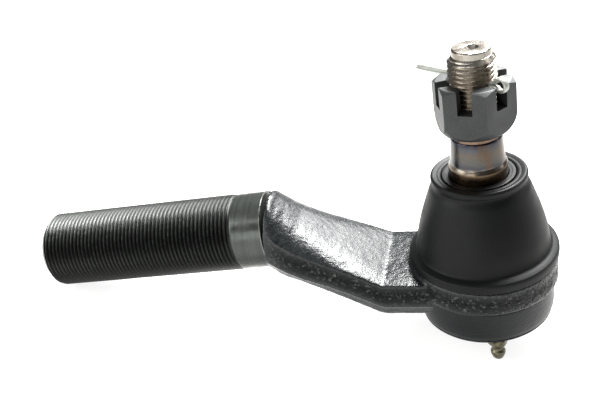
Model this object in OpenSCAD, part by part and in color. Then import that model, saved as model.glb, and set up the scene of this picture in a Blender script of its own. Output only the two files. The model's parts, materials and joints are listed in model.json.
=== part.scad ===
// Tie rod end with an offset forged arm, in millimetres.
// Frame: +Z along the ball stud towards its threaded end, the shank runs towards -X.
// Origin: on the stud's axis at the large end of its taper.

/* [Shank] */
// Thread major diameter of the shank (M36 x 2)
shank_d = 36; // [30:1:40]
// Thread pitch of the shank
shank_pitch = 2; // [1.5:0.5:3]
// Distance from the stud's axis to the shank's end, along the shank
shank_reach = 212; // [190:1:230]
// Length of the threaded stretch with its end bevel
shank_thread_l = 100; // [80:1:110]
// Length of the bevel at the shank's end
shank_bevel = 3; // [1:0.5:4]
// How far the shank droops below level
shank_droop = 4.64; // [0:0.01:8]
// Height of the shank's axis where it would cross the stud's axis
shank_z = -24.3; // [-30:0.1:-20]

/* [Arm] */
// Width of the flat arm beside the housing
arm_w = 45; // [40:1:50]
// Height of the arm's flat top
arm_top = -50; // [-54:0.5:-48]
// Height of the arm's underside
arm_low = -69; // [-72:0.5:-64]
// Distance from the stud's axis to the bend
arm_bend_x = 44; // [40:1:50]
// Distance from the stud's axis to the start of the turned collar
arm_end_x = 97; // [90:1:102]

/* [Housing] */
// Radius of the forged band
band_r = 32.4; // [31:0.1:34]
// Radius of the turned cup below the band
cup_r = 30.4; // [30:0.1:31.6]
// Height of the housing's top face
house_top = -47.7; // [-49:0.1:-46]
// Height of the step between band and cup
band_low = -59.2; // [-60:0.1:-57]
// Height of the housing's bottom lip
house_low = -77.4; // [-79:0.1:-77.2]
// Radius of the bore that holds the bearings
cavity_r = 22.5; // [22:0.1:24]

/* [Ball stud] */
// Ball radius
ball_r = 16.5; // [15:0.1:17]
// Height of the ball's centre
ball_z = -52.5; // [-54:0.1:-51]
// Neck radius at the ball
neck_r = 10; // [8:0.1:10.5]
// Thread major diameter of the stud (M20)
stud_d = 20; // [18:1:22]
// Thread pitch of the stud
stud_pitch = 2; // [1.5:0.5:2.5]
// Height of the stud's tip
stud_top = 50; // [45:1:55]
// Length of the taper
taper_l = 11.7; // [10:0.1:14]
// Radius of the taper's large end; the taper is 1 in 8 on diameter
taper_r = 11.55; // [11:0.05:12]

/* [Nut and pin] */
// Castle nut size across flats
nut_af = 30; // [28:1:32]
// Castle nut height with its crown
nut_h = 22; // [20:0.5:24]
// Height of the nut's lower face
nut_z = 14.7; // [14:0.1:16]
// Width of the crown's slots
slot_w = 6; // [4.5:0.1:6.5]
// Depth of the crown's slots
slot_depth = 9.8; // [8:0.1:10.5]
// Turn of the nut about the stud
nut_turn = 48; // [0:1:59]
// Diameter of the folded cotter pin
pin_d = 4; // [3:0.1:4.2]

/* [Boot] */
// Radius of the boot's top flange
boot_top_r = 20.6; // [20:0.1:22]
// Radius of the boot's base rim
boot_rim_r = 32.9; // [32:0.1:34]

/* [Grease fitting] */
// Distance of the fitting from the stud's axis
fitting_r = 23.4; // [22:0.1:23.5]
// Direction of the fitting round the stud
fitting_turn = -78; // [-90:1:-45]

/* [Hidden] */
$fn = 96;
shank_r = shank_d / 2;
stud_r = stud_d / 2;
run_gap = 0.05;                          // running clearance on a radius
free_gap = 0.3;                          // clearance between parts that never touch
slit = 0.1;                              // gap between flat faces of different bodies
nut_top = nut_z + nut_h;
slot_floor = nut_top - slot_depth;
pin_z = nut_top - 0.3;                   // height of the cotter hole
pin_turn = nut_turn - 90;                // direction of the slot that holds the pin's eye
collar_end_r = shank_r - shank_pitch / 10; // the plain collar beside the thread
thread_x = shank_reach - shank_thread_l; // where the shank's thread starts
hole_r = pin_d / 2 + 0.25;
shoulder_z = ball_z + 9;                 // underside of the shoulder over the bearings
shoulder_r = 15.6;                       // the shoulder's opening
neck_top = -41;                          // top of the housing's neck, inside the boot
neck_out = 26.7;                         // the neck's outer radius
plate_r = 27.9;                          // radius of the end cover
cover_top = -72.1;
cover_low = -76.5;
plate_bevel = 1.2;                       // bevel that the lip is rolled over
chamber_top = -69.2;                     // grease chamber above the end cover
seat_gap = 0.05;                         // clearance round the end cover
bearing_gap = 0.4;                       // slot between the bearing halves
bearing_open_a = -62;                    // the lower shell's opening, seen from the ball's centre
seat_top = ball_z + (ball_r + run_gap) * sin(bearing_open_a) - slit;
seat_low = seat_top - 1.6;
collar_r = 12.5;                         // the stud inside the boot's collar
flange_z = -5.7;                         // top of the boot's outer lip
boot_wall = 2.6;
rim_low = house_top + slit;              // the boot's lower face
ring_in = neck_out + free_gap / 3;       // the base ring's bore
ring_out = 28.2;
bush_r = 15.6;                           // the collar ring's outer radius

// A solid of revolution about the stud's axis from [radius, height] points
module turned(points) rotate_extrude() polygon(points);

// Points on the arc of a circle centred on the axis at height z, between two angles
function arc(r, z, from, to, n = 24) =
    [for (i = [0:n]) let (a = from + (to - from) * i / n) [r * cos(a), z + r * sin(a)]];

// Where the shank's axis passes, s along it from the stud's axis
module on_shank(s) translate([0, 0, shank_z]) rotate([0, -90 - shank_droop, 0]) translate([0, 0, s]) children();

// A cross-section of the arm: flat top, upright side to the parting line, rounded keel below
module arm_slice(x, half, top, low, tilt) {
    translate([-x, 0, top]) rotate([0, tilt, 0]) rotate([90, 0, -90]) linear_extrude(0.4)
        polygon([[-half + 2.5, 0], [half - 2.5, 0], [half - 0.7, -0.8], [half, -2.5],
                 [half + 0.4, (low - top) * 0.6], [half - 2, (low - top) * 0.75],
                 [half - 8, low - top], [-half + 8, low - top],
                 [-half + 2, (low - top) * 0.75], [-half - 0.4, (low - top) * 0.6],
                 [-half, -2.5], [-half + 0.7, -0.8]]);
}

module arm() {
    half = arm_w / 2;
    foot_x = arm_bend_x - 5;             // last level section
    rise_x = arm_bend_x + 7;             // first section of the rising stretch
    neck_x = 84;                         // where the rising stretch starts to turn round
    hull() {
        arm_slice(18, half, arm_top, arm_low, 0);
        arm_slice(foot_x, half, arm_top, arm_low, 0);
    }
    hull() {
        arm_slice(foot_x, half, arm_top, arm_low, 0);
        arm_slice(rise_x, half - 0.7, arm_top + 3.4, arm_low + 3, 14);
    }
    hull() {
        arm_slice(rise_x, half - 0.7, arm_top + 3.4, arm_low + 3, 14);
        arm_slice(neck_x, half - 2.7, arm_top + 18, arm_low + 17, 14);
    }
    hull() {
        arm_slice(neck_x, half - 2.7, arm_top + 18, arm_low + 17, 14);
        on_shank(arm_end_x) cylinder(r = shank_r, h = 0.4, $fn = 48);
    }
}

// The forging: shank, offset arm and housing in one piece
module forged_body() color([0.10, 0.11, 0.12]) {
    difference() {
        union() {
            on_shank(arm_end_x) cylinder(r = collar_end_r, h = thread_x - arm_end_x);
            on_shank(thread_x) cylinder(r = shank_r, h = shank_thread_l - shank_bevel);
            on_shank(shank_reach - shank_bevel)
                cylinder(r1 = shank_r, r2 = shank_r - shank_bevel, h = shank_bevel);
            arm();
            turned([[0, house_low], [cup_r - 2.8, house_low], [cup_r - 1.1, house_low + 2.1],
                    [cup_r - 0.3, house_low + 4.5], [cup_r, house_low + 8], [cup_r, band_low], [band_r, band_low],
                    [band_r, house_top], [neck_out, house_top], [neck_out, neck_top], [0, neck_top]]);
        }
        // bearing bore, grease chamber and seat of the end cover, open from below
        turned([[0, shoulder_z], [cavity_r, shoulder_z], [cavity_r, chamber_top],
                [plate_r - 1, chamber_top], [plate_r - 1, cover_top + seat_gap],
                [plate_r + seat_gap, cover_top + seat_gap], [plate_r + seat_gap, cover_low + plate_bevel],
                [plate_r - plate_bevel, cover_low - seat_gap], [plate_r - plate_bevel - 0.6, house_low - 1],
                [0, house_low - 1]]);
        // flared opening that lets the stud swing
        turned([[0, shoulder_z - 1], [shoulder_r, shoulder_z - 1], [shoulder_r, shoulder_z],
                [shoulder_r + 1.9, neck_top + 0.1], [0, neck_top + 0.1]]);
    }
}

// Ball stud: ball, neck, collar, taper, land, thread and pilot
module ball_stud() color([0.62, 0.58, 0.52]) {
    neck_angle = acos(neck_r / ball_r);
    pilot_r = 7.9;
    pilot_l = 3;                         // plain stretch above the thread
    land_r = 10.3;
    taper_small = taper_r - taper_l / 16;
    difference() {
        turned(concat([[0, ball_z - ball_r * cos(16)], [ball_r * sin(16), ball_z - ball_r * cos(16)]],
                      arc(ball_r, ball_z, -74, neck_angle),
                      [[neck_r, ball_z + 18], [neck_r + 0.6, ball_z + 24], [collar_r, -20],
                       [collar_r, -1.6], [taper_r + 0.5, -0.8], [taper_r, 0],
                       [taper_small, taper_l], [land_r, taper_l + 0.3], [land_r, nut_z + 0.8],
                       [stud_r, nut_z + 1.6], [stud_r, stud_top - pilot_l - stud_pitch], [pilot_r, stud_top - pilot_l],
                       [pilot_r, stud_top - 0.5], [pilot_r - 0.5, stud_top], [0, stud_top]]));
        // centre drilling in the tip
        translate([0, 0, stud_top - 2.4]) cylinder(r1 = 0.8, r2 = 2.6, h = 2.5);
        // hole for the cotter pin
        rotate([0, 0, pin_turn]) translate([0, 0, pin_z]) rotate([0, 90, 0])
            cylinder(r = hole_r, h = 2 * stud_d, center = true);
    }
}

// Upper bearing shell: holds the ball down from the shoulder
module upper_bearing() color([0.82, 0.80, 0.72]) {
    low_a = asin((bearing_gap / 2) / (ball_r + run_gap));
    top_a = asin((shoulder_z - 0.1 - ball_z) / (ball_r + run_gap));
    turned(concat(arc(ball_r + run_gap, ball_z, low_a, top_a),
                  [[cavity_r - run_gap, shoulder_z - 0.1], [cavity_r - run_gap, ball_z + bearing_gap / 2]]));
}

// Lower bearing shell: carries the ball from below
module lower_bearing() color([0.82, 0.80, 0.72]) {
    foot_z = ball_z + (ball_r + run_gap) * sin(bearing_open_a);
    turned(concat(arc(ball_r + run_gap, ball_z, bearing_open_a, -asin((bearing_gap / 2) / (ball_r + run_gap))),
                  [[cavity_r - run_gap, ball_z - bearing_gap / 2], [cavity_r - run_gap, foot_z]]));
}

// Pressed steel seat between the lower shell and the spring
module spring_seat() color([0.55, 0.56, 0.58])
    turned([[10, seat_top], [20, seat_top], [20, seat_low], [10, seat_low]]);

// Disc spring that keeps the joint free of play
module preload_spring() color([0.35, 0.36, 0.38]) {
    wall = 1.2;
    turned([[11, seat_low], [11, seat_low - wall], [21.4, cover_top], [21.4, cover_top + wall]]);
}

// Plate that closes the housing from below, held by the rolled lip
module end_cover() color([0.16, 0.17, 0.18])
    difference() {
        turned([[0, cover_top], [plate_r, cover_top], [plate_r, cover_low + plate_bevel],
                [plate_r - plate_bevel, cover_low], [0, cover_low]]);
        // tapped hole for the grease fitting
        fitting_frame() translate([0, 0, -1]) cylinder(r = fitting_thread_r, h = 8);
    }

// Rubber boot: flat top flange, bell-shaped wall and base rim
module dust_boot() color([0.17, 0.18, 0.18]) {
    turned([[bush_r + 0.1, flange_z - 1.1], [boot_top_r - 2.6, flange_z - 0.9],
            [boot_top_r - 2.2, flange_z - 1.2], [boot_top_r - 1.8, flange_z],
            [boot_top_r - 0.5, flange_z], [boot_top_r, flange_z - 0.6], [boot_top_r - 0.1, flange_z - 2.6],
            [boot_top_r - 0.9, flange_z - 3.4], [21.4, -12], [23.2, -17], [26, -25.5],
            [28.4, -35], [29.5, -41], [30.1, -43.2], [31.2, -44.1], [boot_rim_r - 0.2, -44.6],
            [boot_rim_r, -45.4], [boot_rim_r - 0.3, rim_low + 0.2], [boot_rim_r - 0.7, rim_low],
            [ring_out + 0.1, rim_low], [ring_out + 0.1, -40.2], [27, -39.6],
            [28.4 - boot_wall, -34.5], [26 - boot_wall, -25.2], [23.2 - boot_wall, -16.6],
            [21.4 - boot_wall - 0.6, -12], [bush_r + 0.1, -10.4]]);
}

// Steel ring that holds the boot's base on the housing's neck
module boot_base_ring() color([0.5, 0.51, 0.52]) {
    turned([[ring_in, house_top + slit], [ring_out, house_top + slit], [ring_out, -40.4],
            [24.5, -40.4], [24.5, neck_top + slit], [ring_in, neck_top + slit]]);
}

// Bush bonded in the boot's top that turns on the stud's collar
module boot_collar_ring() color([0.22, 0.23, 0.23]) {
    bore_r = collar_r + run_gap;
    turned([[bore_r, flange_z - 1.9], [bore_r + 0.6, flange_z - 1.3], [bore_r + 1.4, flange_z - 1.3],
            [bore_r + 1.7, flange_z - 0.8], [bush_r, flange_z - 0.8], [bush_r, -10.6], [bore_r, -10.6]]);
}

// Slotted castle nut
module castle_nut() color([0.30, 0.31, 0.32]) {
    corner_r = nut_af / 2 / cos(30);
    rotate([0, 0, nut_turn]) difference() {
        intersection() {
            translate([0, 0, nut_z]) cylinder(r = corner_r, h = nut_h, $fn = 6);
            // rounded lower corners and a small bevel on the crown
            turned([[0, nut_z], [13.7, nut_z], [15.2, nut_z + 1.7], [16.4, nut_z + 3.9],
                    [17, nut_z + 6], [corner_r, nut_z + 8.5], [corner_r, nut_top - 1.6],
                    [corner_r - 1.9, nut_top], [0, nut_top]]);
        }
        translate([0, 0, nut_z - 1]) cylinder(r = stud_r + run_gap, h = nut_h + 2);
        translate([0, 0, nut_z - 1]) cylinder(r = stud_r + 0.7, h = 2);
        for (i = [0:2]) rotate([0, 0, 30 + 60 * i])
            translate([-nut_af, -slot_w / 2, slot_floor]) cube([2 * nut_af, slot_w, nut_h]);
    }
}

// Cotter pin: a wire folded on itself, with an eye outside one slot and two legs past the other
module cotter_pin() color([0.75, 0.76, 0.74]) {
    eye_r = 3;                           // mean radius of the eye
    eye_x = 15.2;                        // distance of the eye's centre from the stud's axis
    fork_x = stud_r + 1.2;               // where the legs part
    wire_r = 1.05;
    rotate([0, 0, pin_turn]) translate([0, 0, pin_z]) {
        translate([-fork_x, 0, 0]) rotate([0, 90, 0]) cylinder(r = pin_d / 2, h = fork_x + eye_x - eye_r);
        translate([eye_x, 0, 0.8]) rotate([90, 0, 0]) rotate_extrude() translate([eye_r, 0]) circle(r = wire_r, $fn = 24);
        translate([-fork_x + 0.6, 0.7, -0.3]) rotate([0, -99, 2]) cylinder(r = wire_r, h = 23.5);
        translate([-fork_x + 0.6, -0.7, 0.3]) rotate([0, -92, -2]) cylinder(r = wire_r, h = 21);
    }
}

fitting_thread_r = 3;
fitting_hex_z = house_low - 0.3;         // the hexagon's upper face
fitting_low = house_low - 11.5;          // the fitting's mouth
// The fitting's own frame: its axis, with the end cover's lower face at 0
module fitting_frame() rotate([0, 0, fitting_turn]) translate([fitting_r, 0, cover_low]) children();

// Grease fitting body: thread, hexagon, waist and ball head
module grease_fitting_body() color([0.70, 0.66, 0.50]) {
    hex_top = fitting_hex_z - cover_low;
    hex_low = hex_top - 3;
    mouth = fitting_low - cover_low;
    fitting_frame() difference() {
        union() {
            // the stem ends just below the cover's inner face, clear of the spring
            translate([0, 0, hex_top - 0.2])
                cylinder(r = fitting_thread_r, h = cover_top - slit - cover_low - hex_top + 0.2);
            translate([0, 0, hex_low]) cylinder(r = 4 / cos(30), h = 3, $fn = 6);
            turned([[0, hex_low + 0.5], [3.3, hex_low + 0.5], [3.3, hex_low], [3.1, hex_low - 0.8], [2.3, hex_low - 2],
                    [2.3, hex_low - 3.2], [3.3, hex_low - 4.4], [3.3, hex_low - 6], [2.3, mouth], [0, mouth]]);
        }
        translate([0, 0, mouth - 1]) cylinder(r = 0.6, h = 3);
        translate([0, 0, mouth + 0.8]) cylinder(r = 1.3, h = 20);
    }
}

// Check ball that shuts the fitting's mouth
module grease_fitting_ball() color([0.8, 0.8, 0.82])
    fitting_frame() translate([0, 0, fitting_low - cover_low + 2]) sphere(r = 1.1, $fn = 32);

// Spring behind the check ball, drawn as a stack of closed coils
module grease_fitting_spring() color([0.6, 0.6, 0.62])
    fitting_frame() for (i = [0:5]) translate([0, 0, fitting_low - cover_low + 3.4 + i * 1.1])
        rotate_extrude($fn = 32) translate([0.95, 0]) circle(r = 0.24, $fn = 16);

forged_body();
ball_stud();
upper_bearing();
lower_bearing();
spring_seat();
preload_spring();
end_cover();
dust_boot();
boot_base_ring();
boot_collar_ring();
castle_nut();
cotter_pin();
grease_fitting_body();
grease_fitting_ball();
grease_fitting_spring();
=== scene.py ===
"""Tie rod end: the visible pieces, materials, light and camera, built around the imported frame."""

import json
import math

import bmesh
import bpy
from mathutils import Matrix, Vector, noise


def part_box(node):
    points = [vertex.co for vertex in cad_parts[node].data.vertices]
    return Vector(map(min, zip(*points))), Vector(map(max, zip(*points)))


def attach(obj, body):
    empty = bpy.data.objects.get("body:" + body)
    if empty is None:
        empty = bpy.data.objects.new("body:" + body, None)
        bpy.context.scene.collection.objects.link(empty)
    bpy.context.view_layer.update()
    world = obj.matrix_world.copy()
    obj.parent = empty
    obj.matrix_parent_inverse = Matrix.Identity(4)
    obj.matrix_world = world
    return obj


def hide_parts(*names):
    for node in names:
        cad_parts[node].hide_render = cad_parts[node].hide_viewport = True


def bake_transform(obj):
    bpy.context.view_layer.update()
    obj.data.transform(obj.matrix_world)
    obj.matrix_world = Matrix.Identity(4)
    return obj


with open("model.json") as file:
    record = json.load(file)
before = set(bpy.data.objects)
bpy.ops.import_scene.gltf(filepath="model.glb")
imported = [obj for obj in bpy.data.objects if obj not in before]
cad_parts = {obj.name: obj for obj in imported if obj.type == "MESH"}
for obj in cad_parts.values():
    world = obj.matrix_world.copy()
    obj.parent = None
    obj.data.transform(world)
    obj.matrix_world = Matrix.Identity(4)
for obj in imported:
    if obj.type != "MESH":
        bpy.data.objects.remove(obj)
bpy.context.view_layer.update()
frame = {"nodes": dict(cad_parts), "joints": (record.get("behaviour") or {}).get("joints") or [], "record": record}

bl_info = {
    "name": "Tie Rod End",
    "version": (1, 0, 0),
    "blender": (4, 5, 0),
    "location": "View3D > Sidebar > Tie Rod End",
    "description": "Builds the visible pieces of a forged tie rod end with its ball joint",
    "category": "Add Mesh",
}

MM = 0.001
TAU = 2 * math.pi

# ---------------------------------------------------------------- places read from the frame

FORGING_LOW, FORGING_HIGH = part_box("forged_body")
STUD_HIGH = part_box("ball_stud")[1]
NUT_LOW, NUT_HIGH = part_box("castle_nut")
BOOT_LOW, BOOT_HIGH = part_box("dust_boot")
COVER_LOW, COVER_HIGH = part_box("end_cover")
FITTING_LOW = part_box("grease_fitting_body")[0]
MOUNTS = {m["name"]: m for m in frame["record"]["mounts"]}
SHANK = MOUNTS["shank_thread"]
SHANK_DIR = Vector(SHANK["axis"]).normalized()
SHANK_R = SHANK["dims"]["r_mm"] * MM
# the shank's frame: its origin where its axis crosses the stud's axis, +Z towards its free end
SHANK_ORIGIN = Vector(SHANK["pos_m"]) - SHANK_DIR * (SHANK["pos_m"][0] / SHANK_DIR.x)
SHANK_FRAME = Matrix.Translation(SHANK_ORIGIN) @ SHANK_DIR.to_track_quat("Z", "Y").to_matrix().to_4x4()
SHANK_MIDDLE = abs(SHANK["pos_m"][0] / SHANK_DIR.x)
THREAD_START = SHANK_MIDDLE - SHANK["dims"]["length_mm"] * MM / 2
SHANK_BEVEL = 3.0 * MM
# the depth of an external metric thread, as a share of its pitch
THREAD_DEPTH = 0.6134
SHANK_END = SHANK_MIDDLE + SHANK["dims"]["length_mm"] * MM / 2 + SHANK_BEVEL
FITTING_X, FITTING_Y = MOUNTS["grease_fitting"]["pos_m"][:2]
JOINTS = {j["name"]: j for j in frame["joints"]}
BALL_Z = JOINTS["swing"]["pos_m"][2]

BAND_R = FORGING_HIGH.x
CUP_R = BAND_R - 2.0 * MM
HOUSE_LOW = FORGING_LOW.z
HOUSE_TOP = BOOT_LOW.z - 0.1 * MM
BAND_LOW = HOUSE_TOP - 11.5 * MM
NECK_TOP = HOUSE_TOP + 6.7 * MM
NUT_TURN = math.radians(48)
MIDDLE_OF_PART = Vector((-0.06, 0, -0.03))
PIN_Z = NUT_HIGH.z - 0.3 * MM
PIN_TURN = NUT_TURN - math.radians(90)


def settings():
    """The scene's own values, as the sidebar shows them."""
    return bpy.context.scene.tie_rod_end


# ---------------------------------------------------------------- small mesh helpers


def finish_mesh(mesh, paint, smooth_angle=40):
    """Gives a mesh its one material and sets which of its edges stay sharp."""
    mesh.materials.clear()
    mesh.materials.append(paint)
    mesh.shade_smooth()
    mesh.set_sharp_from_angle(angle=math.radians(smooth_angle))


def plain(name, mesh):
    """A working object with no material, for cutting or joining."""
    obj = bpy.data.objects.new(name, mesh)
    bpy.context.scene.collection.objects.link(obj)
    return obj


def new_object(name, mesh, paint, smooth_angle=40):
    """Puts a mesh in the scene under this name, finished."""
    obj = plain(name, mesh)
    finish_mesh(mesh, paint, smooth_angle)
    return obj


def mesh_from(name, verts, faces):
    """A mesh with its doubled points merged and its faces turned outwards."""
    mesh = bpy.data.meshes.new(name)
    mesh.from_pydata([tuple(v) for v in verts], [], faces)
    bm = bmesh.new()
    bm.from_mesh(mesh)
    bmesh.ops.remove_doubles(bm, verts=bm.verts, dist=1e-7)
    bmesh.ops.dissolve_degenerate(bm, edges=bm.edges, dist=1e-8)
    bmesh.ops.recalc_face_normals(bm, faces=bm.faces)
    bm.to_mesh(mesh)
    bm.free()
    return mesh


def rounded(points, radius, steps=4):
    """The outline [(r, z, radius or None)...] in millimetres with its inner corners rounded."""
    out = []
    for i, p in enumerate(points):
        r = radius if len(p) < 3 else p[2]
        if i in (0, len(points) - 1) or not r:
            out.append(Vector((p[0], p[1])))
            continue
        here, before, after = (Vector(q[:2]) for q in (p, points[i - 1], points[i + 1]))
        a, b = before - here, after - here
        reach = min(r, a.length * 0.45, b.length * 0.45)
        start, end = here + a.normalized() * reach, here + b.normalized() * reach
        for k in range(steps + 1):
            t = k / steps
            out.append(start * (1 - t) ** 2 + here * (2 * t * (1 - t)) + end * t * t)
    return out


def revolve(name, points, segments=128, radius=0.3, centre=(0, 0), closed=False, steps=4):
    """A turned mesh about a vertical axis from an outline in millimetres, open ends on the axis."""
    outline = rounded(list(points) + ([points[0]] if closed else []), radius, steps)
    if closed:
        outline = outline[:-1]
    verts, faces, rings = [], [], []
    for p in outline:
        if abs(p.x) < 1e-6:
            rings.append([len(verts)])
            verts.append((centre[0], centre[1], p.y * MM))
            continue
        rings.append(list(range(len(verts), len(verts) + segments)))
        for k in range(segments):
            a = TAU * k / segments
            verts.append((centre[0] + p.x * MM * math.cos(a), centre[1] + p.x * MM * math.sin(a), p.y * MM))
    pairs = list(zip(rings, rings[1:]))
    if closed:
        pairs.append((rings[-1], rings[0]))
    for low, high in pairs:
        for k in range(segments):
            n = (k + 1) % segments
            a, b = low[k % len(low)], low[n % len(low)]
            c, d = high[n % len(high)], high[k % len(high)]
            face = list(dict.fromkeys((a, b, c, d)))
            if len(face) > 2:
                faces.append(face)
    return mesh_from(name, verts, faces)


def hexagon(name, corner, low, high, turn, centre=(0, 0)):
    """A six-sided bar in millimetres, its first corner turned this far from +X; centre in metres."""
    verts = []
    for z in (low, high):
        for k in range(6):
            a = turn + TAU * k / 6
            x = centre[0] + corner * MM * math.cos(a)
            y = centre[1] + corner * MM * math.sin(a)
            verts.append((x, y, z * MM))
    walls = [(k, (k + 1) % 6, 6 + (k + 1) % 6, 6 + k) for k in range(6)]
    return mesh_from(name, verts, [tuple(range(6)), tuple(range(6, 12)), *walls])


def loft_faces(rings, points):
    """Faces that join this many rings of this many points in order and close both ends."""
    faces = []
    for i in range(rings - 1):
        for k in range(points):
            a, b = i * points + k, i * points + (k + 1) % points
            faces.append((a, b, b + points, a + points))
    return faces + [tuple(range(points)), tuple(range((rings - 1) * points, rings * points))]


def apply_modifiers(obj):
    """Replaces the object's mesh with its evaluated one and drops the modifiers."""
    depsgraph = bpy.context.evaluated_depsgraph_get()
    mesh = bpy.data.meshes.new_from_object(obj.evaluated_get(depsgraph), depsgraph=depsgraph)
    old = obj.data
    obj.modifiers.clear()
    obj.data = mesh
    bpy.data.meshes.remove(old)
    return obj


def boolean(obj, other, operation):
    """Cuts, joins or intersects with another object and removes that object."""
    mod = obj.modifiers.new("cut", "BOOLEAN")
    mod.operation = operation
    mod.solver = "EXACT"
    mod.object = other
    apply_modifiers(obj)
    bpy.data.objects.remove(other)
    return obj


def soften(obj, width, segments=3, angle=32):
    """Rounds the edges that stay sharp after cutting."""
    mod = obj.modifiers.new("soften", "BEVEL")
    mod.width = width
    mod.segments = segments
    mod.limit_method = "ANGLE"
    mod.angle_limit = math.radians(angle)
    mod.harden_normals = False
    return apply_modifiers(obj)


# ---------------------------------------------------------------- materials

# nearly all of a noise texture's values lie between these
NOISE_SPAN = {"From Min": 0.3, "From Max": 0.7}


def hex_colour(text, alpha=1.0):
    """An sRGB hex value as linear red, green, blue, alpha."""
    out = []
    for i in (1, 3, 5):
        c = int(text[i:i + 2], 16) / 255
        out.append(c / 12.92 if c <= 0.04045 else ((c + 0.055) / 1.055) ** 2.4)
    return (*out, alpha)


def shade(colour, share):
    """The same colour, this many times as bright."""
    return (*(c * share for c in colour[:3]), 1.0)


def add_node(tree, kind, inputs=None, **values):
    """Adds one node, sets its properties, then fills or links its inputs."""
    node = tree.nodes.new(kind)
    for key, value in values.items():
        setattr(node, key, value)
    for key, value in (inputs or {}).items():
        socket = node.inputs[key]
        if isinstance(value, bpy.types.NodeSocket):
            tree.links.new(value, socket)
        else:
            socket.default_value = value
    return node


def start_material(name, **sockets):
    """A material with a Principled surface, its plain sockets set, and the object's coordinates."""
    made = bpy.data.materials.new(name)
    made.use_nodes = True
    tree = made.node_tree
    tree.nodes.clear()
    shader = add_node(tree, "ShaderNodeBsdfPrincipled", {k.replace("_", " "): v for k, v in sockets.items()})
    add_node(tree, "ShaderNodeOutputMaterial", {"Surface": shader.outputs["BSDF"]})
    place = add_node(tree, "ShaderNodeTexCoord").outputs["Object"]
    return made, tree, shader.inputs, place


def fill_surface(made, surface, values):
    """Links these values to the surface's sockets and returns the material."""
    for key, value in values.items():
        made.node_tree.links.new(value, surface[key])
    return made


def paint_on_forging(name="black gloss enamel on hot forged steel"):
    """The arm and the housing's band.

    Hammered hot and dipped in enamel with the scale still on: the gloss breaks into sparks over
    a pitted skin, and the band where the flash was sheared off is torn, so it stays dark.
    """
    made, tree, surface, place = start_material(name, Metallic=0.0, Specular_IOR_Level=0.36)
    paint = settings().paint
    torn = add_node(tree, "ShaderNodeAttribute", attribute_name="torn").outputs["Fac"]
    skin = add_node(tree, "ShaderNodeTexNoise", {
        "Vector": place, "Scale": 1 / (1.0 * MM), "Detail": 4.0, "Roughness": 0.62}).outputs["Fac"]
    pits = add_node(tree, "ShaderNodeTexNoise", {
        "Vector": place, "Scale": 1 / (3.2 * MM), "Detail": 3.0, "Roughness": 0.55}).outputs["Fac"]
    grit = add_node(tree, "ShaderNodeTexNoise", {
        "Vector": place, "Scale": 1 / (1.7 * MM), "Detail": 6.0, "Roughness": 0.72}).outputs["Fac"]
    # thicker, slightly greyer paint lies in the hollows
    pooled = add_node(tree, "ShaderNodeMapRange", {
        "Value": pits, "From Min": 0.35, "From Max": 0.7}).outputs[0]
    tone = add_node(tree, "ShaderNodeMix", {
        0: pooled, 6: shade(paint, 0.8), 7: shade(paint, 1.8)}, data_type="RGBA").outputs[2]
    # the torn band is dull and black, and its high points show dust and bare scale
    dull = add_node(tree, "ShaderNodeMix", {
        0: torn, 6: tone, 7: shade(paint, 0.4)}, data_type="RGBA").outputs[2]
    high = add_node(tree, "ShaderNodeMapRange", {
        "Value": grit, "From Min": 0.55, "From Max": 0.64, "To Max": 0.85}).outputs[0]
    dusty = add_node(tree, "ShaderNodeMath", {0: high, 1: torn}, operation="MULTIPLY").outputs[0]
    dusted = add_node(tree, "ShaderNodeMix", {
        0: dusty, 6: dull, 7: hex_colour("#5c5d5a")}, data_type="RGBA").outputs[2]
    glint = add_node(tree, "ShaderNodeMapRange", {"Value": torn, "To Min": 0.36, "To Max": 0.12}).outputs[0]
    gloss = add_node(tree, "ShaderNodeMapRange", {
        "Value": skin, **NOISE_SPAN, "To Min": 0.2, "To Max": 0.34}).outputs[0]
    broad = add_node(tree, "ShaderNodeBump", {
        "Height": pits, "Strength": 1.0, "Distance": 0.2 * MM}).outputs[0]
    fine = add_node(tree, "ShaderNodeBump", {
        "Height": skin, "Strength": 1.0, "Distance": 0.17 * MM, "Normal": broad}).outputs[0]
    ragged = add_node(tree, "ShaderNodeBump", {
        "Height": grit, "Strength": torn, "Distance": 1.6 * MM, "Normal": fine}).outputs[0]
    return fill_surface(made, surface, {
        "Base Color": dusted, "Specular IOR Level": glint, "Roughness": gloss, "Normal": ragged})


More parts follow.
